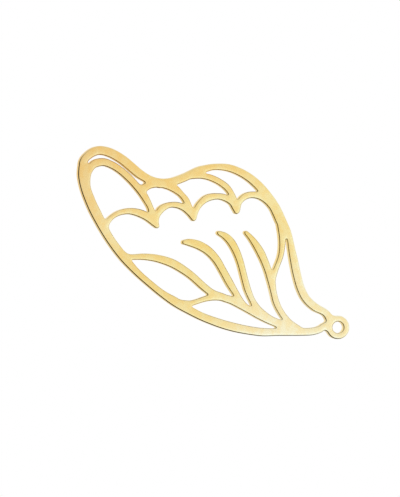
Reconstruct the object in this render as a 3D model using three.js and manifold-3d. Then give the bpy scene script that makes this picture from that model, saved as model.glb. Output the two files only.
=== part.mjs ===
// Wing pendant: one flat metal sheet, cut right through into an openwork butterfly wing.
// Its hanging loop is part of the same sheet, so the whole pendant is a single piece.
// The wing is drawn as it hangs, seen from its front, with the middle of the loop's hole at the origin.
// It is drawn lying down, and then stood up so that its front looks towards -Y.

import * as THREE from "three";
import { mergeVertices } from "three/addons/utils/BufferGeometryUtils.js";
import Module from "manifold-3d";

const wasm = await Module();
wasm.setup();

// Driving dimensions, in millimetres and degrees
const WING_LENGTH = 32.25; // from the middle of the hole down to the lowest middle line of a rim
const WING_BREADTH = 15.12; // between the middle lines of the rims where the wing is broadest
const SHEET_THICKNESS = 0.9;
const EDGE_BEVEL = 0.06; // how far the edge of each face is broken
const INNER_CORNER_RADIUS = 0.08; // in a sharp corner of a window
const CORNER_REACH = 0.33; // what a square corner takes of each side; a blunter one takes more
const LOOP_BORE = 1.2; // diameter of the hole in the hanging loop
const LOOP_WALL = 0.62;

// Full width of each kind of rib; a station gives its share of it
const RIGHT_RIM_WIDTH = 1.14;
const LEFT_RIM_WIDTH = 0.98;
const RAY_WIDTH = 0.78;
const SCALLOP_WIDTH = 0.78;
const VEIN_WIDTH = 0.88;
const KEEL_WIDTH = 0.83;
const QUILL_WIDTH = 0.88;
const FORK_WIDTH = 0.6;

// How finely curves are cut into straight steps
const RIB_STEP = 0.22;
const ROUND_END_STEPS = 7;
const BORE_STEPS = 36;
const CORNER_STEPS = 4;
const FLATNESS = 0.006; // how far a straight step may leave its curve
const CORNER_TURN = 32; // a sharper turn than this, in degrees, is a corner
const MOST_OF_A_RUN = 0.4; // the most that a corner may take of the line between two corners
const SAME_PLACE = 1e-4; // points nearer than this are one point

// Places that more than one rib runs to: how far across, as a share of the wing's breadth,
// and how far down, as a share of its length
const TIP = [-0.0024, 0.9901];
const TAIL_1 = [0.0752, 0.6854];
const TAIL_2 = [-0.1028, 0.5936];
const TAIL_3 = [-0.3054, 0.4841];

// A place in the middle of the loop's wall, at an angle round the hole, as the same shares
function onLoop(degrees) {
  const radius = (LOOP_BORE + LOOP_WALL) / 2;
  const angle = THREE.MathUtils.degToRad(degrees);
  return [radius * Math.cos(angle) / WING_BREADTH, -radius * Math.sin(angle) / WING_LENGTH];
}

// Each rib: its full width, and stations along its middle line.
// A station has its share across and down, as above, and the share of the full width there.
const ribs = [
  // right rim, from the loop down to the tip
  [RIGHT_RIM_WIDTH, [
    [...onLoop(287.4), 0.75], [0.041, 0.0396, 0.64], [0.08, 0.0491, 0.65], [0.119, 0.0667, 0.69],
    [0.148, 0.0872, 0.72], [0.204, 0.1306, 0.76], [0.26, 0.1712, 0.69], [0.307, 0.2074, 0.75],
    [0.347, 0.2496, 0.78], [0.381, 0.2929, 0.82], [0.411, 0.3408, 0.8], [0.439, 0.4051, 0.73],
    [0.447, 0.4437, 0.75], [0.451, 0.5032, 0.84], [0.451, 0.5544, 0.66], [0.437, 0.6126, 0.61],
    [0.417, 0.6675, 0.63], [0.377, 0.7313, 0.8], [0.32, 0.8001, 0.79], [0.231, 0.8738, 0.96],
    [0.186, 0.9073, 0.95], [0.114, 0.9506, 0.96], [0.048, 0.9746, 1.16], [...TIP, 1.02],
  ]],
  // left rim, from the tip over two bulges and up to the loop
  [LEFT_RIM_WIDTH, [
    [...TIP, 1.22], [-0.021, 0.998, 0.93], [-0.052, 0.9999, 0.86], [-0.115, 0.9894, 0.92],
    [-0.152, 0.9735, 0.94], [-0.177, 0.9435, 0.97], [-0.184, 0.8993, 0.99], [-0.174, 0.8571, 0.99],
    [-0.164, 0.8214, 0.97], [-0.166, 0.7848, 0.9], [-0.181, 0.7515, 1.03], [-0.23, 0.7196, 0.89],
    [-0.316, 0.6859, 0.86], [-0.41, 0.6576, 0.76], [-0.442, 0.6418, 0.74], [-0.479, 0.6231, 0.67],
    [-0.53, 0.5773, 0.79], [-0.549, 0.523, 0.86], [-0.541, 0.4755, 0.93], [-0.512, 0.4276, 1],
    [-0.466, 0.3801, 1.11], [-0.404, 0.3351, 1.11], [-0.374, 0.308, 0.88], [-0.343, 0.2878, 0.69],
    [-0.293, 0.2664, 0.76], [-0.231, 0.2391, 0.88], [-0.16, 0.2076, 0.91], [-0.09, 0.1714, 0.89],
    [-0.051, 0.1404, 0.88], [-0.034, 0.1013, 0.88], [-0.038, 0.0592, 0.78], [...onLoop(261.4), 1],
  ]],
  // three rays, from the left rim to the tails; the first starts at the tip, beside the slit
  [RAY_WIDTH, [
    [0.052, 0.9762, 1.07], [0.011, 0.9754, 1.5], [-0.018, 0.9695, 1.03], [-0.041, 0.9677, 1.02],
    [-0.064, 0.962, 1.08], [-0.099, 0.9428, 1.04], [-0.114, 0.9122, 0.98], [-0.113, 0.8784, 0.95],
    [-0.101, 0.8437, 0.97], [-0.079, 0.8061, 0.95], [-0.057, 0.7763, 1], [-0.037, 0.7577, 0.95],
    [-0.006, 0.7337, 0.83], [0.035, 0.713, 1.07], [...TAIL_1, 0.67],
  ]],
  [RAY_WIDTH, [
    [-0.188, 0.74, 1.02], [-0.204, 0.7146, 1.08], [-0.207, 0.6935, 1.05], [-0.198, 0.6686, 0.81],
    [-0.182, 0.6461, 0.88], [-0.156, 0.6283, 0.88], [-0.133, 0.6124, 0.9], [...TAIL_2, 0.68],
  ]],
  [RAY_WIDTH, [
    [-0.306, 0.6909, 0.89], [-0.347, 0.6712, 0.96], [-0.38, 0.6455, 0.84], [-0.393, 0.6305, 0.81],
    [-0.404, 0.6144, 0.84], [-0.413, 0.5801, 0.86], [-0.407, 0.5504, 0.87], [-0.384, 0.5256, 0.82],
    [-0.353, 0.5079, 0.96], [...TAIL_3, 0.78],
  ]],
  // short link that closes the slit, from the first ray to the left rim
  [RAY_WIDTH, [
    [-0.073, 0.798, 0.8], [-0.101, 0.7842, 1], [-0.137, 0.7749, 1.07], [-0.173, 0.7582, 1.2],
  ]],
  // four scallops, from the right rim by way of the three tails to the left rim
  [SCALLOP_WIDTH, [
    [0.274, 0.8381, 0.93], [0.234, 0.832, 0.8], [0.189, 0.8266, 0.65], [0.139, 0.8135, 0.71],
    [0.092, 0.7884, 0.84], [0.066, 0.7571, 1.04], [0.058, 0.7277, 1.09], [0.067, 0.7038, 0.89],
    [...TAIL_1, 0.67],
  ]],
  [SCALLOP_WIDTH, [
    [0.073, 0.687, 0.56], [0.025, 0.6997, 0.67], [-0.015, 0.7027, 0.91], [-0.052, 0.6984, 0.91],
    [-0.093, 0.6844, 0.75], [-0.12, 0.6631, 0.83], [-0.13, 0.6406, 0.87], [-0.121, 0.6154, 0.8],
    [...TAIL_2, 0.68],
  ]],
  [SCALLOP_WIDTH, [
    [-0.122, 0.5959, 0.67], [-0.168, 0.6014, 0.8], [-0.219, 0.5996, 0.85], [-0.274, 0.5888, 0.96],
    [-0.322, 0.5624, 0.84], [-0.341, 0.5368, 0.91], [-0.334, 0.5123, 0.67], [-0.316, 0.4958, 0.67],
    [...TAIL_3, 0.73],
  ]],
  [SCALLOP_WIDTH, [
    [-0.326, 0.4855, 0.68], [-0.364, 0.4913, 0.76], [-0.398, 0.4895, 0.83], [-0.433, 0.4811, 0.87],
    [-0.459, 0.467, 0.88], [-0.48, 0.4434, 0.96], [-0.483, 0.414, 1.1], [-0.46, 0.3799, 1.05],
  ]],
  // vein along the leaf-shaped window
  [VEIN_WIDTH, [
    [0.379, 0.7264, 0.71], [0.345, 0.7005, 0.67], [0.306, 0.6725, 0.76], [0.268, 0.6348, 0.88],
    [0.241, 0.5906, 1], [0.234, 0.5598, 1], [0.238, 0.5073, 0.92], [0.259, 0.448, 0.88],
    [0.264, 0.4162, 0.87], [0.249, 0.376, 0.92], [0.234, 0.3411, 0.82],
  ]],
  // strip along the long narrow window, which carries the roots of the quills
  [KEEL_WIDTH, [
    [0.458, 0.5116, 0.87], [0.433, 0.4813, 0.95], [0.404, 0.4605, 0.72], [0.365, 0.4435, 0.63],
    [0.325, 0.427, 0.69], [0.278, 0.4028, 0.87], [0.247, 0.3725, 0.9], [0.231, 0.3368, 1.05],
    [0.227, 0.2928, 0.95], [0.222, 0.2477, 0.96], [0.21, 0.2042, 1.02], [0.196, 0.1608, 0.95],
  ]],
  // three quills, from their free tips to their roots
  [QUILL_WIDTH, [
    [0.07, 0.5804, 0.56], [0.058, 0.5711, 0.8], [0.045, 0.5558, 0.95], [0.033, 0.5332, 1.04],
    [0.032, 0.4975, 1.02], [0.054, 0.4593, 0.96], [0.095, 0.4224, 0.91], [0.139, 0.3851, 0.93],
    [0.184, 0.3437, 0.78], [0.218, 0.3104, 0.82], [0.224, 0.2931, 0.78], [0.226, 0.2731, 0.71],
  ]],
  [QUILL_WIDTH, [
    [-0.112, 0.4975, 0.53], [-0.117, 0.476, 0.81], [-0.106, 0.4503, 0.93], [-0.068, 0.4172, 0.9],
    [-0.021, 0.3886, 0.84], [0.05, 0.3533, 0.82], [0.108, 0.324, 0.84], [0.155, 0.2935, 0.76],
    [0.186, 0.2658, 0.88], [0.201, 0.2398, 0.96], [0.205, 0.2022, 0.94], [0.192, 0.1693, 0.94],
    [0.177, 0.1383, 1],
  ]],
  [QUILL_WIDTH, [
    [-0.214, 0.4211, 0.48], [-0.209, 0.4103, 0.59], [-0.194, 0.3882, 0.76], [-0.155, 0.349, 0.96],
    [-0.114, 0.3196, 0.91], [-0.066, 0.2904, 0.91], [-0.017, 0.2646, 0.94], [0.032, 0.2437, 0.78],
    [0.083, 0.2181, 0.8], [0.121, 0.1889, 0.76], [0.15, 0.1538, 0.82], [0.159, 0.1295, 0.92],
    [0.153, 0.0926, 0.75],
  ]],
  // fork from the left rim to the root of the third quill
  [FORK_WIDTH, [
    [-0.424, 0.357, 0.88], [-0.362, 0.3248, 1.32], [-0.318, 0.3093, 1.21], [-0.258, 0.2934, 1.05],
    [-0.198, 0.2826, 0.95], [-0.128, 0.2766, 0.95], [-0.076, 0.2723, 1.09], [-0.033, 0.2675, 1.26],
    [0.006, 0.255, 1.23],
  ]],
];

// A flat outline as a solid as thick as the sheet
function solidOf(shape) {
  const geometry = new THREE.ExtrudeGeometry(shape, { depth: SHEET_THICKNESS, bevelEnabled: false });
  geometry.deleteAttribute("normal");
  geometry.deleteAttribute("uv");
  const merged = mergeVertices(geometry, SAME_PLACE);
  return new wasm.Manifold(new wasm.Mesh({
    numProp: 3,
    vertProperties: merged.attributes.position.array,
    triVerts: new Uint32Array(merged.index.array),
  }));
}

// A tapering strip along a smooth line, with round ends; the line's third number carries the width
function ribShape(fullWidth, stations) {
  const knots = stations.map(([across, down, share]) => (
    new THREE.Vector3(across * WING_BREADTH, -down * WING_LENGTH, share * fullWidth)
  ));
  const line = new THREE.CatmullRomCurve3(knots, false, "centripetal");
  const steps = Math.ceil(line.getLength() / RIB_STEP);
  const places = line.getSpacedPoints(steps);
  const left = [];
  const right = [];
  const directions = places.map((place, i) => {
    const before = places[Math.max(i - 1, 0)];
    const after = places[Math.min(i + 1, steps)];
    return new THREE.Vector2(after.x - before.x, after.y - before.y).normalize();
  });
  places.forEach((place, i) => {
    const side = new THREE.Vector2(-directions[i].y, directions[i].x).multiplyScalar(place.z / 2);
    left.push(new THREE.Vector2(place.x + side.x, place.y + side.y));
    right.unshift(new THREE.Vector2(place.x - side.x, place.y - side.y));
  });
  const roundEnd = (place, startAngle) => {
    const points = [];
    for (let k = 1; k < ROUND_END_STEPS; k += 1) {
      const angle = startAngle - (Math.PI * k) / ROUND_END_STEPS;
      const arm = new THREE.Vector2(Math.cos(angle), Math.sin(angle)).multiplyScalar(place.z / 2);
      points.push(arm.add(place));
    }
    return points;
  };
  const farEnd = roundEnd(places[steps], directions[steps].angle() + Math.PI / 2);
  const nearEnd = roundEnd(places[0], directions[0].angle() - Math.PI / 2);
  return new THREE.Shape([...left, ...farEnd, ...right, ...nearEnd]);
}

// A round disc about the origin
function disc(radius) {
  const shape = new THREE.Shape();
  shape.absarc(0, 0, radius, 0, 2 * Math.PI);
  return new THREE.Shape(shape.getPoints(BORE_STEPS).slice(0, -1));
}

// The closed lines that bound a solid's upper face, each as a list of points
function upperOutlines(solid) {
  const { numProp, vertProperties, triVerts } = solid.getMesh();
  const next = new Map();
  const heightOf = (v) => vertProperties[v * numProp + 2];
  const isUpper = (v) => Math.abs(heightOf(v) - SHEET_THICKNESS) < SAME_PLACE;
  const edges = new Set();
  for (let t = 0; t < triVerts.length; t += 3) {
    const triangle = [triVerts[t], triVerts[t + 1], triVerts[t + 2]];
    if (triangle.every(isUpper)) {
      triangle.forEach((v, i) => edges.add(`${v} ${triangle[(i + 1) % 3]}`));
    }
  }
  for (const edge of edges) {
    const [from, to] = edge.split(" ").map(Number);
    if (!edges.has(`${to} ${from}`)) next.set(from, to);
  }
  const outlines = [];
  while (next.size > 0) {
    const start = next.keys().next().value;
    const outline = [];
    for (let v = start; next.has(v);) {
      outline.push(new THREE.Vector2(vertProperties[v * numProp], vertProperties[v * numProp + 1]));
      const following = next.get(v);
      next.delete(v);
      v = following;
    }
    outlines.push(outline);
  }
  return outlines;
}

// Drops the points of an open run that lie within FLATNESS of the line past them
function simplified(run) {
  if (run.length < 3) return run;
  const first = run[0];
  const last = run[run.length - 1];
  const chord = last.clone().sub(first);
  const length = chord.length();
  const offset = (p) => {
    const arm = p.clone().sub(first);
    return length > 0 ? Math.abs(chord.cross(arm)) / length : arm.length();
  };
  let farthest = 0;
  run.forEach((p, i) => {
    const inside = i > 0 && i < run.length - 1;
    if (inside && (farthest === 0 || offset(p) > offset(run[farthest]))) farthest = i;
  });
  if (offset(run[farthest]) < FLATNESS) return [first, last];
  return [...simplified(run.slice(0, farthest + 1)).slice(0, -1), ...simplified(run.slice(farthest))];
}

// Rounds the sharp inner corners of a closed outline, and leaves as few points as its curves need
function rounded(outline) {
  const points = outline.filter((p, i) => p.distanceTo(outline[(i + 1) % outline.length]) > FLATNESS);
  const count = points.length;
  const at = (i) => points[(i + count) % count];
  const turnAt = (i) => {
    const arriving = at(i).clone().sub(at(i - 1));
    const leaving = at(i + 1).clone().sub(at(i));
    return Math.atan2(arriving.cross(leaving), arriving.dot(leaving));
  };
  const sharp = THREE.MathUtils.degToRad(CORNER_TURN);
  const corners = points.map((p, i) => i).filter((i) => Math.abs(turnAt(i)) > sharp);
  if (corners.length === 0) {
    const half = Math.floor(count / 2);
    const runs = [points.slice(0, half + 1), [...points.slice(half), points[0]]];
    return runs.flatMap((run) => simplified(run).slice(0, -1));
  }
  const result = [];
  corners.forEach((corner, k) => {
    const nextCorner = corners[(k + 1) % corners.length];
    const span = (nextCorner - corner + count) % count || count;
    const run = [];
    for (let i = 0; i <= span; i += 1) run.push(at(corner + i));
    const startTrim = trimAt(turnAt(corner), run);
    const endTrim = trimAt(turnAt(nextCorner), run);
    const middle = trimmed(run, startTrim, endTrim);
    result.push({ middle: simplified(middle), corner: nextCorner });
  });
  return result.flatMap(({ middle, corner }, k) => {
    const following = result[(k + 1) % result.length].middle;
    const arc = cornerArc(middle, following, Math.abs(turnAt(corner)));
    return [...middle, ...arc];
  });
}

// How much of a run is taken off beside a corner, so that its arc fits
function trimAt(turn, run) {
  const length = run.reduce((sum, p, i) => (i > 0 ? sum + p.distanceTo(run[i - 1]) : 0), 0);
  const sharp = INNER_CORNER_RADIUS * Math.tan(Math.abs(turn) / 2);
  const blunt = CORNER_REACH * (1 + Math.cos(turn));
  const reach = Math.max(sharp, blunt);
  return Math.min(reach, MOST_OF_A_RUN * length);
}

// The run without a length at its start and at its end
function trimmed(run, startLength, endLength) {
  const path = new THREE.CurvePath();
  run.slice(1).forEach((p, i) => path.add(new THREE.LineCurve(run[i], p)));
  const length = path.getLength();
  const from = path.getPoint(startLength / length);
  const to = path.getPoint(1 - endLength / length);
  let travelled = 0;
  const kept = run.filter((p, i) => {
    if (i > 0) travelled += p.distanceTo(run[i - 1]);
    return travelled > startLength + FLATNESS && travelled < length - endLength - FLATNESS;
  });
  return [from, ...kept, to];
}

// The points of a smooth arc from the end of one run to the start of the next.
// Its handles have the length that makes a cubic curve follow a circle.
function cornerArc(before, after, turn) {
  const from = before[before.length - 1];
  const to = after[0];
  const leaving = from.clone().sub(before[before.length - 2]).normalize();
  const arriving = to.clone().sub(after[1]).normalize();
  const radius = from.distanceTo(to) / (2 * Math.sin(turn / 2));
  const handle = (4 / 3) * Math.tan(turn / 4) * radius;
  const arc = new THREE.CubicBezierCurve(
    from,
    from.clone().addScaledVector(leaving, handle),
    to.clone().addScaledVector(arriving, handle),
    to,
  );
  return arc.getPoints(CORNER_STEPS).slice(1, -1);
}

// The ring of the loop and all ribs, joined, with the hole cut last
let plate = solidOf(disc(LOOP_BORE / 2 + LOOP_WALL));
for (const [fullWidth, stations] of ribs) {
  plate = plate.add(solidOf(ribShape(fullWidth, stations)));
}
plate = plate.subtract(solidOf(disc(LOOP_BORE / 2)));

// The finished outline: the line round the largest area is the outer edge, the others are openings
const areaOf = (outline) => Math.abs(THREE.ShapeUtils.area(outline));
const outlines = upperOutlines(plate).map(rounded);
outlines.sort((a, b) => areaOf(b) - areaOf(a));
const sheet = new THREE.Shape(outlines[0]);
sheet.holes = outlines.slice(1).map((outline) => new THREE.Path(outline));

const depth = SHEET_THICKNESS - 2 * EDGE_BEVEL;
const wingGeometry = new THREE.ExtrudeGeometry(sheet, {
  depth,
  bevelThickness: EDGE_BEVEL,
  bevelSize: EDGE_BEVEL,
  bevelOffset: -EDGE_BEVEL,
  bevelSegments: 1,
});
wingGeometry.translate(0, 0, -depth / 2);

const gold = new THREE.MeshStandardMaterial({ color: 0xe6c583, roughness: 0.38, metalness: 1 });
const wing = new THREE.Mesh(wingGeometry, gold);
wing.name = "wing";

// Stood up, with its front towards -Y
const hung = new THREE.Group();
hung.rotation.x = Math.PI / 2;
hung.add(wing);

const pendant = new THREE.Group();
pendant.add(hung);

export default pendant;
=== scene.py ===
# %% [markdown]
# # A gold wing pendant, dressed on its solid model
#
# The pendant is one piece of sheet metal. It is cut right through into the veins of a butterfly wing,
# and its hanging loop is part of the same sheet. A solid model already fixes its size, its outline and
# its place: it hangs from the middle of the loop's hole, which is the origin, with +Z up and the front
# looking along -Y. This script gives it the soft faces, the rounded edges and the satin gold of the
# real thing, and then the light that it was photographed in.

# %% Load the solid model and keep its box
import math

import bmesh
import bpy
import numpy as np
from mathutils import Matrix, Vector, geometry, kdtree


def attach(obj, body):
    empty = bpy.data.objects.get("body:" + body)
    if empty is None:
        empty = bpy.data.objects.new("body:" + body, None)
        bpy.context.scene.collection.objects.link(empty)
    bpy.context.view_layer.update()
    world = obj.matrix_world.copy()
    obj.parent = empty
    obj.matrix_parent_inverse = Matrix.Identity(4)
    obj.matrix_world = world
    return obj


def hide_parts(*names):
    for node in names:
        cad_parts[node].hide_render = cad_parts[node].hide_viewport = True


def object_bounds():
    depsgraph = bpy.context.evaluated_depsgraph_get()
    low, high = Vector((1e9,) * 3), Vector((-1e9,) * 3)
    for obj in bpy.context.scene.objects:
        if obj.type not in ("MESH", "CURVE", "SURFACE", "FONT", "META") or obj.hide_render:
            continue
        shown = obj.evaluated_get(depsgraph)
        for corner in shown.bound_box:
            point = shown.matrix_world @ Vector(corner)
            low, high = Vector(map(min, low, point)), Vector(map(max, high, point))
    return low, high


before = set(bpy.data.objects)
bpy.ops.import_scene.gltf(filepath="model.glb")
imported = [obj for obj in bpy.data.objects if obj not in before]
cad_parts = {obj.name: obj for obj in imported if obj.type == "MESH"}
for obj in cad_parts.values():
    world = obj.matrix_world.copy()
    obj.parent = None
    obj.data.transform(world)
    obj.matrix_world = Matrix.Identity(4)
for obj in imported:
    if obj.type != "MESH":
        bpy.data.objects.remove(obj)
cad_low, cad_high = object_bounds()
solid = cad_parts["wing"]
MM = 0.001
print("solid model, in mm:", [round(side / MM, 2) for side in cad_high - cad_low])

# %% [markdown]
# ## The camera
#
# The photograph shows the wing turned a third of the way round, with its loop at the lower right, and
# a little from the side: the cut walls show only on edges that look left. A camera that turns round
# its own axis gives the first, and one that stands a little to the picture's left gives the second.
# The other way would be to turn the pendant, but then it would no longer hang. The lens is long, as for
# any small piece of jewellery, so that the wing isn't wider at its near end.

# %% Camera at the photograph's angle
WING_TURN = math.radians(121.4)  # from the way the wing hangs to the way the picture shows it
CAMERA_SWING = math.radians(15)  # how far the camera stands to the picture's left
CAMERA_DISTANCE = 800 * MM
PICTURE_SIZE = (400, 497)  # in pixels
HOLE_PIXEL = (338.3, 327.4)  # the middle of the loop's hole in the picture
PIXEL = 0.104 * MM  # what one pixel covers on the pendant

picture_right = Vector((math.cos(WING_TURN), 0, math.sin(WING_TURN)))
picture_up = Vector((-math.sin(WING_TURN), 0, math.cos(WING_TURN)))
front = Vector((0, -1, 0))
towards_camera = math.cos(CAMERA_SWING) * front - math.sin(CAMERA_SWING) * picture_right
camera_right = math.cos(CAMERA_SWING) * picture_right + math.sin(CAMERA_SWING) * front

across = (PICTURE_SIZE[0] / 2 - HOLE_PIXEL[0]) * PIXEL
above = (HOLE_PIXEL[1] - PICTURE_SIZE[1] / 2) * PIXEL
middle = Vector((0, cad_low.y, 0)) + across * camera_right + above * picture_up

camera_data = bpy.data.cameras.new("camera")
camera = bpy.data.objects.new("camera", camera_data)
bpy.context.scene.collection.objects.link(camera)
axes = Matrix((camera_right, picture_up, towards_camera)).transposed().to_4x4()
camera.matrix_world = Matrix.Translation(middle + CAMERA_DISTANCE * towards_camera) @ axes
camera_data.lens = camera_data.sensor_width * CAMERA_DISTANCE / (PICTURE_SIZE[1] * PIXEL)
camera_data.clip_start = CAMERA_DISTANCE / 10
camera_data.clip_end = CAMERA_DISTANCE * 10
bpy.context.scene.camera = camera
print("lens", round(camera_data.lens), "mm, looking at", [round(c / MM, 1) for c in middle], "mm")

# %% [markdown]
# ## The outline of the sheet
#
# The solid is a plate with narrow bevels, so its mesh has four levels through the thickness: the two
# faces, and the two lines where a bevel meets the cut wall. The second line from the front is the full
# outline of the sheet: one closed loop round the wing and one round each opening. Reading it off the
# solid keeps the dressed piece exactly where the solid is. Each loop is then drawn again as a smooth
# curve through the solid's corners, because straight steps would show as flats in polished metal.

# %% Closed loops of the cut wall
LEVEL_STEP = 0.001 * MM  # points nearer than this through the thickness are on one level


def wall_loops(mesh):
    """The closed lines where the front bevel meets the wall, as arrays of x and z."""
    work = bmesh.new()
    work.from_mesh(mesh)
    bmesh.ops.remove_doubles(work, verts=work.verts, dist=LEVEL_STEP)
    levels = sorted({round(v.co.y / LEVEL_STEP) for v in work.verts})
    on_wall = [round(v.co.y / LEVEL_STEP) == levels[1] for v in work.verts]
    work.verts.index_update()
    near = {}
    for edge in work.edges:
        a, b = edge.verts
        if on_wall[a.index] and on_wall[b.index]:
            near.setdefault(a, []).append(b)
            near.setdefault(b, []).append(a)
    loops = []
    while near:
        start = next(iter(near))
        loop = [start]
        ahead = near.pop(start)[0]
        while ahead is not start:
            loop.append(ahead)
            first, second = near.pop(ahead)
            ahead = second if first is loop[-2] else first
        loops.append(np.array([(v.co.x, v.co.z) for v in loop]))
    work.free()
    return loops


def signed_area(loop):
    """Positive where the loop runs anticlockwise, seen from the front."""
    x, z = loop.T
    return 0.5 * float(np.sum(x * np.roll(z, -1) - np.roll(x, -1) * z))


loops = sorted(wall_loops(solid.data), key=lambda loop: -abs(signed_area(loop)))
print(len(loops), "closed lines, with", [len(loop) for loop in loops], "corners")

# %% Smooth curves through the corners
OUTLINE_STEP = 0.2 * MM


def smooth_loop(loop):
    """A smooth closed curve through the loop's corners, with metal on its left."""
    ahead = np.roll(loop, -1, axis=0)
    gaps = np.sqrt(np.linalg.norm(ahead - loop, axis=1))[:, None]
    gaps_before = np.roll(gaps, 1, axis=0)
    slopes = (ahead - loop) / gaps
    slopes_before = np.roll(slopes, 1, axis=0)
    tangents = (slopes * gaps_before + slopes_before * gaps) / (gaps + gaps_before)
    tangents_ahead = np.roll(tangents, -1, axis=0)
    points = []
    for p, q, out, into, gap in zip(loop, ahead, tangents, tangents_ahead, gaps):
        steps = max(1, math.ceil(np.linalg.norm(q - p) / OUTLINE_STEP))
        for t in np.arange(steps) / steps:
            pull = (t**3 - 2 * t**2 + t) * out + (t**3 - t**2) * into
            points.append((2 * t**3 - 3 * t**2 + 1) * p + (3 * t**2 - 2 * t**3) * q + pull * gap)
    return np.clip(points, (cad_low.x, cad_low.z), (cad_high.x, cad_high.z))


outlines = []
for number, loop in enumerate(loops):
    runs_right = (signed_area(loop) > 0) == (number == 0)
    outlines.append(smooth_loop(loop if runs_right else loop[::-1]))
print(sum(len(outline) for outline in outlines), "points along the smooth outlines")

# %% [markdown]
# ## The shape of the faces
#
# The ribs of the real wing aren't flat boards. The tumbling and polishing that follow the cutting round
# every edge, and leave a low crown across each rib, so that one side of it catches the light and the
# other doesn't. Both depend only on how far a place is from the nearest edge, so the face is one height
# for each distance: a soft chamfer at the edge, and then a shallow parabola up to the flat. The chamfer
# is a quarter of a superellipse, which lies between a straight cut and a quarter circle. A bevel
# modifier would break the edges too, but it couldn't raise the crown.

# %% Height of the face at a distance from the edge
EDGE_WIDTH = 0.104 * MM
EDGE_POWER = 1.5  # 1 is a quarter circle, 2 is a straight chamfer
EDGE_STEPS = 5
CROWN_DEPTH = 0.03 * MM
CROWN_REACH = 0.42 * MM

half_thickness = cad_high.y
edge_angles = np.linspace(0, math.pi / 2, EDGE_STEPS + 1)


def crown_drop(distance):
    """How far the face lies below the sheet's full thickness, at a distance from the edge."""
    return CROWN_DEPTH * (1 - np.minimum(distance / CROWN_REACH, 1)) ** 2


cosines = np.maximum(np.cos(edge_angles), 0)
edge_offsets = EDGE_WIDTH * (1 - cosines**EDGE_POWER)
edge_drops = EDGE_WIDTH * (1 - np.sin(edge_angles) ** EDGE_POWER) + crown_drop(edge_offsets)
edge_heights = half_thickness - edge_drops
print("edge heights, in mm:", np.round(edge_heights / MM, 3))


# %% Rings of points inside each outline
CORNER_EASE = 0.1 * MM  # so that a ring doesn't cross itself inside a sharp corner


def inward_normals(outline):
    """Unit directions from each point of the outline into the metal, eased round sharp corners."""
    along = np.roll(outline, -1, axis=0) - np.roll(outline, 1, axis=0)
    spans = np.linalg.norm(along, axis=1)
    travelled = np.cumsum(np.linalg.norm(outline - np.roll(outline, 1, axis=0), axis=1))
    apart = np.abs(travelled[:, None] - travelled[None, :])
    apart = np.minimum(apart, travelled[-1] - apart)
    shares = spans * np.exp(-((apart / CORNER_EASE) ** 2))
    eased = shares @ (along / spans[:, None])
    eased /= np.linalg.norm(eased, axis=1)[:, None]
    return np.stack([-eased[:, 1], eased[:, 0]], axis=1)


normals = [inward_normals(outline) for outline in outlines]


def ring(distance):
    """The outlines, moved into the metal by a distance."""
    return [outline + distance * normal for outline, normal in zip(outlines, normals)]


edge_tree = kdtree.KDTree(sum(len(outline) for outline in outlines))
for number, place in enumerate(np.concatenate(outlines)):
    edge_tree.insert((place[0], place[1], 0), number)
edge_tree.balance()


def edge_distance(place):
    """Distance from a place on the face to the nearest edge."""
    return edge_tree.find((place[0], place[1], 0))[2]


# %% [markdown]
# ## One closed mesh
#
# The rounded edges are strips of quads between rings that follow the outline. Inside the last ring the
# face is filled with triangles, on two more rings and a loose grid of points in the broad places, by
# a Delaunay fill that keeps the ring's own edges. The back is the front's mirror image, and the cut
# wall joins the two. Short strips at both ends of the wall keep it straight under smooth shading.

# %% Points of the crowned face
CROWN_RINGS = (0.2 * MM, 0.3 * MM)
GRID_STEP = 0.24 * MM
CLEARANCE = 0.8  # a ring's point is kept if no edge is nearer than this share of its distance

inner_ring = ring(edge_offsets[-1])
rim = np.concatenate(inner_ring)
face_points = [rim]
face_distances = [np.full(len(rim), edge_offsets[-1])]


def inside_lines(places, lines):
    """Whether each place is inside the outer line and outside every opening, by counting crossings."""
    crossings = np.zeros(len(places), int)
    for line in lines:
        for (ax, az), (bx, bz) in zip(line, np.roll(line, -1, axis=0)):
            between = (az > places[:, 1]) != (bz > places[:, 1])
            if between.any():
                at = ax + (places[between, 1] - az) / (bz - az) * (bx - ax)
                crossings[between] += places[between, 0] < at
    return crossings % 2 == 1


for distance in CROWN_RINGS:
    places = np.concatenate(ring(distance))[::2]
    clear = np.array([edge_distance(place) > CLEARANCE * distance for place in places])
    places = places[clear]
    places = places[inside_lines(places, inner_ring)]
    face_points.append(places)
    face_distances.append(np.full(len(places), distance))

grid = np.array([
    (x + (row % 2) * GRID_STEP / 2, z)
    for row, z in enumerate(np.arange(cad_low.z, cad_high.z, GRID_STEP * math.sqrt(3) / 2))
    for x in np.arange(cad_low.x, cad_high.x, GRID_STEP)
])
grid = grid[inside_lines(grid, inner_ring)]
grid_distances = np.array([edge_distance(place) for place in grid])
broad = grid_distances > CROWN_RINGS[-1] + GRID_STEP / 2
face_points.append(grid[broad])
face_distances.append(grid_distances[broad])
print("face points:", [len(points) for points in face_points])

# %% Fill the face with triangles
rim_edges = []
first = 0
for outline in outlines:
    count = len(outline)
    rim_edges += [(first + i, first + (i + 1) % count) for i in range(count)]
    first += count
fill_points = np.concatenate(face_points)
filled = geometry.delaunay_2d_cdt([Vector(p) for p in fill_points / MM], rim_edges, [], 0, 1e-6)
filled_points = np.array([tuple(p) for p in filled[0]]) * MM
origins = [source[0] for source in filled[3]]
triangles = np.array([face for face in filled[2]])
centres = filled_points[triangles].mean(axis=1)
triangles = triangles[inside_lines(centres, inner_ring)]
depths = np.concatenate(face_distances)[origins]
face_heights = half_thickness - crown_drop(depths)
print(len(triangles), "triangles in a face")

# %% Join both faces and the wall
WALL_STRIP = 0.05 * MM

wing_mesh = bpy.data.meshes.new("gold_wing")
build = bmesh.new()
# marks the rounded edges and walls: they get a real polish in the roughness and a painted highlight in the
# colour
polish = build.verts.layers.float.new("polish")


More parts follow.
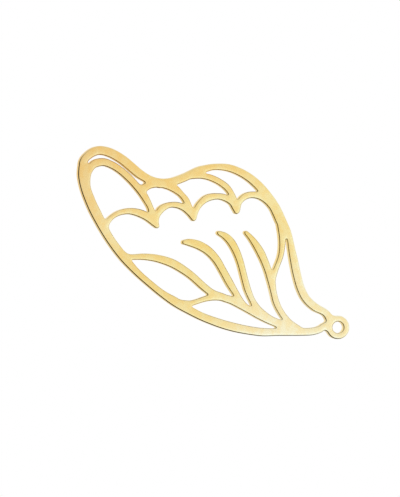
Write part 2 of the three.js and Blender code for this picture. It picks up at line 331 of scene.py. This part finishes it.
def add_ring(places, height):
    """One row of vertices for each outline, at a height above the middle of the sheet, marked for their
    real polish and their painted highlight.
    """
    rows = [[build.verts.new((x, -height, z)) for x, z in line] for line in places]
    for row in rows:
        for vert in row:
            vert[polish] = 1
    return rows


def add_strip(lower, upper):
    """Quads between two rows of vertices that follow the same outlines."""
    for low, high in zip(lower, upper):
        count = len(low)
        for i in range(count):
            ahead = (i + 1) % count
            build.faces.new((low[i], low[ahead], high[ahead], high[i]))


def add_face(side, last_ring):
    """The crowned face of one side, on the vertices of its last ring."""
    ready = [v for line in last_ring for v in line]
    for vert in ready:
        vert[polish] = 0
    verts = []
    for origin, (x, z), height in zip(origins, filled_points, face_heights):
        verts.append(ready[origin] if origin < len(ready) else build.verts.new((x, -side * height, z)))
    for a, b, c in triangles:
        build.faces.new((verts[a], verts[b], verts[c])[::side])


rows = []
for offset, height in zip(reversed(edge_offsets), reversed(edge_heights)):
    rows.append(add_ring(ring(offset), -height))
wall_end = edge_heights[0] - WALL_STRIP
rows += [add_ring(outlines, -wall_end), add_ring(outlines, wall_end)]
for offset, height in zip(edge_offsets, edge_heights):
    rows.append(add_ring(ring(offset), height))
for lower, upper in zip(rows, rows[1:]):
    add_strip(lower, upper)
add_face(1, rows[-1])
add_face(-1, rows[0])
bmesh.ops.recalc_face_normals(build, faces=build.faces)
build.to_mesh(wing_mesh)
build.free()
wing_mesh.shade_smooth()
wing_piece = bpy.data.objects.new("gold_wing", wing_mesh)
bpy.context.scene.collection.objects.link(wing_piece)
print(len(wing_mesh.vertices), "vertices,", len(wing_mesh.polygons), "faces")

# %% [markdown]
# ## Shader maths as plain expressions
#
# The finish is worked out from a few numbers that vary over the surface. One small class wraps a
# socket, so that a sum or a product of such numbers can be written as it is on paper, and one method
# makes every other kind of node from its type, its settings and what goes into its sockets.


# %% A value in a node tree
class Value:
    """A number, colour or vector in a node tree. Arithmetic on a number adds its Math nodes."""

    def __init__(self, tree, socket):
        self.tree = tree
        self.socket = socket

    @classmethod
    def node(cls, tree, kind, settings=None, inputs=None, output=0):
        """Adds a node. Its settings are set first, and then its inputs are filled or linked."""
        made = tree.nodes.new(kind)
        for name, setting in (settings or {}).items():
            if name == "stops":
                ramp = made.color_ramp.elements
                while len(ramp) < len(setting):
                    ramp.new(0.5)
                for stop, (position, colour) in zip(ramp, setting):
                    stop.position = position
                    stop.color = (*colour, 1)
            else:
                setattr(made, name, setting)
        for name, value in (inputs or {}).items():
            if isinstance(value, Value):
                tree.links.new(value.socket, made.inputs[name])
            else:
                made.inputs[name].default_value = value
        return cls(tree, made.outputs[output])

    def maths(self, operation, left, right):
        """A Math node on two numbers."""
        return Value.node(self.tree, "ShaderNodeMath", {"operation": operation}, {0: left, 1: right})

    def __add__(self, other):
        return self.maths("ADD", self, other)

    __radd__ = __add__

    def __sub__(self, other):
        return self.maths("SUBTRACT", self, other)

    def __rsub__(self, other):
        return self.maths("SUBTRACT", other, self)

    def __mul__(self, other):
        return self.maths("MULTIPLY", self, other)

    __rmul__ = __mul__

    def rise(self, start, end):
        """Rises softly from 0 where the value is at start to 1 where it is at end."""
        return Value.node(self.tree, "ShaderNodeMapRange", {"interpolation_type": "SMOOTHSTEP"}, {
            "Value": self, "From Min": start, "From Max": end})

    def blend(self, first, second):
        """A colour between two colours, with this value as the share of the second."""
        sockets = {"Factor": self, "A": first, "B": second}
        return Value.node(self.tree, "ShaderNodeMix", {"data_type": "RGBA"}, sockets, 2)

    def tinted(self, tint):
        """The colour, dimmed or brightened in each channel by a tint."""
        return Value.node(self.tree, "ShaderNodeVectorMath", {"operation": "MULTIPLY"}, {0: self, 1: tint})

    def along(self, start, end, stops):
        """A colour that changes through its stops while the value goes from start to end."""
        share = (self - start) * (1 / (end - start))
        return Value.node(self.tree, "ShaderNodeValToRGB", {"stops": stops}, {0: share})


def linear(red, green, blue):
    """A colour as it looks on a screen, from 0 to 255, as the renderer counts light."""
    shares = [channel / 255 for channel in (red, green, blue)]
    return tuple(s / 12.92 if s <= 0.04045 else ((s + 0.055) / 1.055) ** 2.4 for s in shares)


# %% [markdown]
# ## Satin gold
#
# The pendant is brass with a thin layer of gold. Its colour here isn't one even gold. A ramp along the
# wing is
# painted light: it paints the wing a shade dimmer and redder towards the tip and paler by the loop, as the
# light falls along it. A ramp across the wing makes it warmer towards its left and cooler towards its
# right, seen from the front. A ramp aslant it makes it deeper on the quills than on the tails of the
# scallops. The plate also has a faint cloudiness, pinker here and greener there, where the layer is
# thicker or thinner. The finish is satin, from tumbling in fine media, so the reflections are soft and the
# surface has a very fine grain. The broken edges, which the media strike most, are less rough, and their
# paler, bluer colour is a painted highlight. Colour comes from three slow ramps, along, across and aslant
# the wing, and from two noises, the softness from the roughness, and the grain from a bump far smaller
# than a rib.

# %% Gold material
# Painted light: the gold is painted dimmer and redder towards the tip and paler towards the loop, as the
# light falls along the wing.
TIP_GOLD = linear(240, 208, 142)
LOBE_GOLD = linear(245, 215, 143)
MIDDLE_GOLD = linear(247, 225, 156)
LOOP_GOLD = linear(250, 236, 188)
ALONG_GOLD_AND_LIGHT_STOPS = [(0, TIP_GOLD), (0.17, LOBE_GOLD), (0.58, MIDDLE_GOLD), (0.78, LOOP_GOLD)]
LEFT_TINT = (0.985, 0.94, 0.87)
INNER_TINT = (0.985, 0.97, 0.92)
RIGHT_TINT = (0.99, 1.01, 1.08)
RIM_TINT = (0.975, 0.97, 0.98)
ACROSS_STOPS = [(0, LEFT_TINT), (0.55, INNER_TINT), (0.77, RIGHT_TINT), (1, RIM_TINT)]
EVEN_TINT = (1, 1, 1)
TAIL_TINT = (1.02, 1.08, 1.2)
QUILL_TINT = (0.99, 0.98, 0.89)
ASLANT_REACH = (-34 * MM, 0)  # sums of x and z, from the tip to the loop
ASLANT_STOPS = [
    (0.24, EVEN_TINT), (0.37, TAIL_TINT), (0.51, QUILL_TINT), (0.64, QUILL_TINT), (0.76, EVEN_TINT)]
PINK_PLATE = (0.995, 0.95, 0.87, 1)
GREEN_PLATE = (0.99, 1.01, 1.05, 1)
CLOUD_SIZE = 0.7 * MM
CLOUD_REACH = (0.4, 0.6)  # levels of the noise: where the plate is all pink, and all green
GRAIN_SIZE = 0.09 * MM
SPECK_REACH = (0.3, 0.7)  # levels of the noise: where the specks are deepest, and palest
DEEP_SPECK = (0.985, 0.97, 0.92, 1)
PALE_SPECK = (1.01, 1.02, 1.06, 1)
SATIN = 0.2  # roughness of the faces, halfway between their softest and their sharpest places
SATIN_SPREAD = 0.1
EDGE_SHINE = 0.1  # how much less rough the broken edges are
FACE_TINT = (1, 1, 1, 1)
# painted highlight: the rounded edges and walls are painted paler and bluer
EDGE_HIGHLIGHT_TINT = (1, 1.015, 1.1, 1)
GRAIN_DEPTH = 0.0015 * MM
EDGE_ON_TINT = (1, 0.9, 0.7, 1)  # keeps the gold golden where it is seen edge on


def gold_material():
    """Satin gold plate, with painted light that makes it redder at the tip of the wing and paler at its
    loop, and a painted highlight on its edges.
    """
    material = bpy.data.materials.new("satin_gold")
    material.use_nodes = True
    tree = material.node_tree
    shader = tree.nodes["Principled BSDF"]
    shader.inputs["Metallic"].default_value = 1
    shader.inputs["Specular Tint"].default_value = EDGE_ON_TINT
    place = Value.node(tree, "ShaderNodeTexCoord", output="Object")
    across = Value.node(tree, "ShaderNodeSeparateXYZ", inputs={0: place}, output="X")
    height = Value.node(tree, "ShaderNodeSeparateXYZ", inputs={0: place}, output="Z")
    clouds = Value.node(tree, "ShaderNodeTexNoise", inputs={
        "Vector": place, "Scale": 1 / CLOUD_SIZE, "Detail": 3, "Roughness": 0.6})
    grain = Value.node(tree, "ShaderNodeTexNoise", inputs={
        "Vector": place, "Scale": 1 / GRAIN_SIZE, "Detail": 2, "Roughness": 0.5})
    # painted light along the wing, dimmer and redder at the tip and paler at the loop
    colour = height.along(cad_low.z, cad_high.z, ALONG_GOLD_AND_LIGHT_STOPS)
    colour = colour.tinted(across.along(cad_low.x, cad_high.x, ACROSS_STOPS))
    colour = colour.tinted((across + height).along(*ASLANT_REACH, ASLANT_STOPS))
    colour = colour.tinted(clouds.rise(*CLOUD_REACH).blend(PINK_PLATE, GREEN_PLATE))
    colour = colour.tinted(grain.rise(*SPECK_REACH).blend(DEEP_SPECK, PALE_SPECK))
    edge = Value.node(tree, "ShaderNodeAttribute", {"attribute_name": "polish"}, output="Fac")
    # painted highlight: a paler, bluer colour on the rounded edges and walls
    colour = colour.tinted(edge.blend(FACE_TINT, EDGE_HIGHLIGHT_TINT))
    tree.links.new(colour.socket, shader.inputs["Base Color"])
    roughness = SATIN - SATIN_SPREAD / 2 + clouds * SATIN_SPREAD - edge * EDGE_SHINE
    tree.links.new(roughness.socket, shader.inputs["Roughness"])
    bump = Value.node(tree, "ShaderNodeBump", inputs={
        "Strength": 1, "Distance": GRAIN_DEPTH, "Height": grain})
    tree.links.new(bump.socket, shader.inputs["Normal"])
    return material


wing_mesh.materials.append(gold_material())
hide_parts("wing")
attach(wing_piece, "root")
print("gold from", [round(c, 2) for c in TIP_GOLD], "to", [round(c, 2) for c in LOOP_GOLD])

# %% [markdown]
# ## Light and background
#
# Bright metal shows what is round it, so the light here is the world itself: a white tent, at the level
# where a colour looks as it is written. A tent that is white on all sides would leave the edges
# invisible. The photograph shows a dark line on each edge that looks to the picture's left or down, a
# fainter one on the others, and paler flanks where a rib slopes down or to the right. So the tent is open
# at its sides, to a room that is darkest at the lower left. Its front is brighter and cooler towards the
# lower right and a little dim and warm towards the upper left, and its sides are cool. Behind the pendant
# hangs a pale backdrop, darker low down. The camera sees plain white behind the pendant.

# %% White tent, open to a dim room at its sides
FRONT_EDGE = (0.78, 0.42)  # cosines from straight in front: where the open side begins, and is full
BACK_EDGE = (-0.5, -0.85)  # and where it ends again, at the backdrop
SIDE_EDGE = (0.7, 0.3)  # where the tent begins to turn cool towards its sides, and is fully so
ROOM_TURN = math.radians(40)  # the room's darkest side, below the picture's left
ROOM_REACH = (-0.65, 0.75)  # cosines from that side: where the room is palest, and darkest
HAZE = 0.08  # the share of the room's darkness that is there on all sides
COOL_TURN = math.radians(50)  # the tent's cooler side, below the picture's right
COOL_REACH = (0.15, 0.42)  # cosines from that side: where the cool part begins, and is full
WARM_REACH = (0.17, -0.25)  # and where the warm part begins, and is full
LOW_REACH = (0.02, 0.3)  # cosines from the picture's foot: where the backdrop darkens, and is darkest
ROOM = (0.03, 0.027, 0.022, 1)
BACKDROP = (0.97, 0.96, 0.93, 1)
LOW_BACKDROP = (0.8, 0.79, 0.75, 1)
TENT = (1, 1, 1, 1)
SIDE_TENT = (1, 1.07, 1.2, 1)
WARM_TENT = (0.96, 0.94, 0.92, 1)
COOL_TENT = (1.08, 1.2, 1.45, 1)


def white_tent():
    """A white world that is dim at its sides, for all but the camera."""
    world = bpy.data.worlds.new("tent")
    bpy.context.scene.world = world
    world.use_nodes = True
    tree = world.node_tree
    direction = Value.node(tree, "ShaderNodeTexCoord", output="Generated")

    def towards(side):
        inputs = {0: direction, 1: side}
        return Value.node(tree, "ShaderNodeVectorMath", {"operation": "DOT_PRODUCT"}, inputs, "Value")

    ahead = towards(front)
    room_side = -math.cos(ROOM_TURN) * picture_right - math.sin(ROOM_TURN) * picture_up
    cool_side = math.cos(COOL_TURN) * picture_right - math.sin(COOL_TURN) * picture_up
    warmth = towards(cool_side).rise(*WARM_REACH)
    coolness = towards(cool_side).rise(*COOL_REACH)
    tent = coolness.blend(warmth.blend(TENT, WARM_TENT), COOL_TENT)
    tent = ahead.rise(*SIDE_EDGE).blend(tent, SIDE_TENT)
    backdrop = towards(-picture_up).rise(*LOW_REACH).blend(BACKDROP, LOW_BACKDROP)
    tent = ahead.rise(*BACK_EDGE).blend(tent, backdrop)
    darkness = HAZE + (1 - HAZE) * towards(room_side).rise(*ROOM_REACH)
    open_side = ahead.rise(*FRONT_EDGE) * (1 - ahead.rise(*BACK_EDGE))
    lit = (open_side * darkness).blend(tent, ROOM)
    seen = Value.node(tree, "ShaderNodeLightPath", output="Is Camera Ray")
    tree.links.new(seen.blend(lit, TENT).socket, tree.nodes["Background"].inputs["Color"])
    return world


white_tent()
open_angles = [round(math.degrees(math.acos(edge))) for edge in (*FRONT_EDGE, *BACK_EDGE)]
print("tent opens and closes at", open_angles, "degrees from straight in front")

# %% [markdown]
# The floor is far below the hanging pendant, under the line of sight of the photograph. It is pale paper,
# and what the camera sees of it is mostly a white glow of its own, so that it meets the white background
# without a horizon and still darkens a little where the pendant keeps the light off it.

# %% Pale floor
FLOOR_DROP = 210 * MM
FLOOR_RADIUS = 1200 * MM
FLOOR_SIDES = 96
FLOOR_WHITE = 0.9
FLOOR_GLOW = 0.85


def pale_floor():
    """A wide round floor below the pendant."""
    mesh = bpy.data.meshes.new("floor")
    work = bmesh.new()
    bmesh.ops.create_circle(work, cap_ends=True, segments=FLOOR_SIDES, radius=FLOOR_RADIUS)
    work.to_mesh(mesh)
    work.free()
    floor = bpy.data.objects.new("floor", mesh)
    floor.location.z = -FLOOR_DROP
    floor.visible_glossy = False
    bpy.context.scene.collection.objects.link(floor)
    material = bpy.data.materials.new("floor_paper")
    material.use_nodes = True
    tree = material.node_tree
    tree.nodes.remove(tree.nodes["Principled BSDF"])
    paper = Value.node(tree, "ShaderNodeBsdfDiffuse", inputs={"Color": (*[FLOOR_WHITE] * 3, 1)})
    glow = Value.node(tree, "ShaderNodeEmission", inputs={"Color": (1, 1, 1, 1), "Strength": 1})
    seen = Value.node(tree, "ShaderNodeLightPath", output="Is Camera Ray")
    surface = Value.node(tree, "ShaderNodeMixShader", inputs={0: seen * FLOOR_GLOW, 1: paper, 2: glow})
    tree.links.new(surface.socket, tree.nodes["Material Output"].inputs["Surface"])
    mesh.materials.append(material)
    return floor


pale_floor()
print("floor", round(FLOOR_DROP / MM), "mm down,", round(2 * FLOOR_RADIUS / MM), "mm across")

# %% Finish with the standard view transform
bpy.context.scene.view_settings.view_transform = "Standard"
